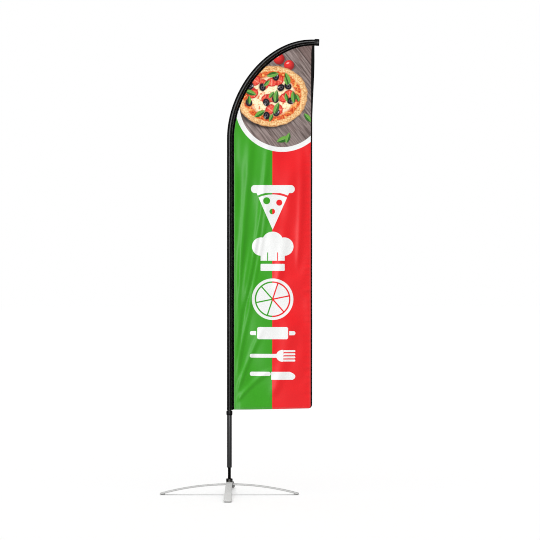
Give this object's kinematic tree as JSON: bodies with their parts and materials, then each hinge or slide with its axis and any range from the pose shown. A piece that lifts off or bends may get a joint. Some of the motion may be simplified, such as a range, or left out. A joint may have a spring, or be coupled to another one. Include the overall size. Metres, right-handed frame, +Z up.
{
  "type": "feather flag with pole",
  "caption": "Tall feather flag on a pole that bends over at the top, turning on a bearing spindle in a low folding cross base.",
  "frame": {"origin": "centre of the footprint's bounding box on the floor; the pole's axis stands at x = -0.06075 m, y = 0", "axes": "+Z up along the pole, +X from the pole towards the flag's free edge, +Y through the flag, away from the viewer"},
  "size_m": [0.9404, 0.819, 2.6891],
  "materials": {
    "powder_coat": "pale grey powder coat, fine orange-peel, satin",
    "pad_rubber": "matt grey moulded rubber",
    "turned_steel": "turned steel, lightly oiled",
    "bearing_steel": "ground and polished bearing steel",
    "nylon": "natural nylon",
    "spindle_black": "gloss black plated steel",
    "pole_aluminium": "dark grey anodised, fine drawn grain along the pole",
    "fibreglass": "black pigmented fibreglass",
    "black_plastic": "moulded black plastic, satin",
    "ring_rubber": "black nitrile rubber",
    "sleeve_cloth": "black woven polyester",
    "printed_cloth": "printed knitted polyester, green beside red with a white-ringed food picture and white pictograms"
  },
  "bodies": {
    "base": {"lower_bar": "powder_coat", "foot_pad_left": "pad_rubber", "foot_pad_right": "pad_rubber", "bearing_housing": "turned_steel", "pivot_nut": "turned_steel", "pivot_washer": "turned_steel", "friction_washer": "nylon", "bearing_outer_race": "bearing_steel", "retaining_ring": "turned_steel", "dust_cover": "black_plastic"},
    "cross_bar": {"upper_bar": "powder_coat", "foot_pad_front": "pad_rubber", "foot_pad_back": "pad_rubber"},
    "spindle": {"spindle": "spindle_black", "bearing_inner_race": "bearing_steel", "spindle_circlip": "turned_steel", "o_ring_lower": "ring_rubber", "o_ring_upper": "ring_rubber"},
    "bearing_cage": {"ball_cage": "nylon", "bearing_ball_1": "bearing_steel", "bearing_ball_2": "bearing_steel", "bearing_ball_3": "bearing_steel", "bearing_ball_4": "bearing_steel", "bearing_ball_5": "bearing_steel", "bearing_ball_6": "bearing_steel", "bearing_ball_7": "bearing_steel", "bearing_ball_8": "bearing_steel", "bearing_ball_9": "bearing_steel"},
    "bottom_pole": {"bottom_tube": "pole_aluminium", "tube_foot_bush": "black_plastic", "thrust_cup": "black_plastic"},
    "mast": {"mast_lower_tube": "pole_aluminium", "mast_ferrule": "black_plastic", "mast_upper_tube": "fibreglass", "tip_ferrule": "black_plastic", "tip_rod": "fibreglass", "mast_collar": "black_plastic", "pole_sleeve": "sleeve_cloth", "flag_panel": "printed_cloth", "fly_edge_binding": "sleeve_cloth", "tip_cap": "black_plastic"}
  },
  "joints": [
    {"name": "leg_fold", "type": "hinge", "parent": "base", "child": "cross_bar", "pos_m": [-0.06075, 0, 0.0716], "axis": [0, 0, 1], "range_deg": [-70, 70]},
    {"name": "spindle_spin", "type": "hinge", "parent": "base", "child": "spindle", "pos_m": [-0.06075, 0, 0.0879], "axis": [0, 0, 1], "continuous": true},
    {"name": "cage_spin", "type": "hinge", "parent": "base", "child": "bearing_cage", "pos_m": [-0.06075, 0, 0.0879], "axis": [0, 0, 1], "continuous": true},
    {"name": "pole_lift", "type": "slide", "parent": "spindle", "child": "bottom_pole", "axis": [0, 0, 1], "range_m": [0, 0.22]},
    {"name": "mast_unplug", "type": "slide", "parent": "bottom_pole", "child": "mast", "axis": [0, 0, 1], "range_m": [0, 0.16]}
  ],
  "couplings": [
    {"joint": "cage_spin", "follows": "spindle_spin", "ratio": 0.3987}
  ]
}
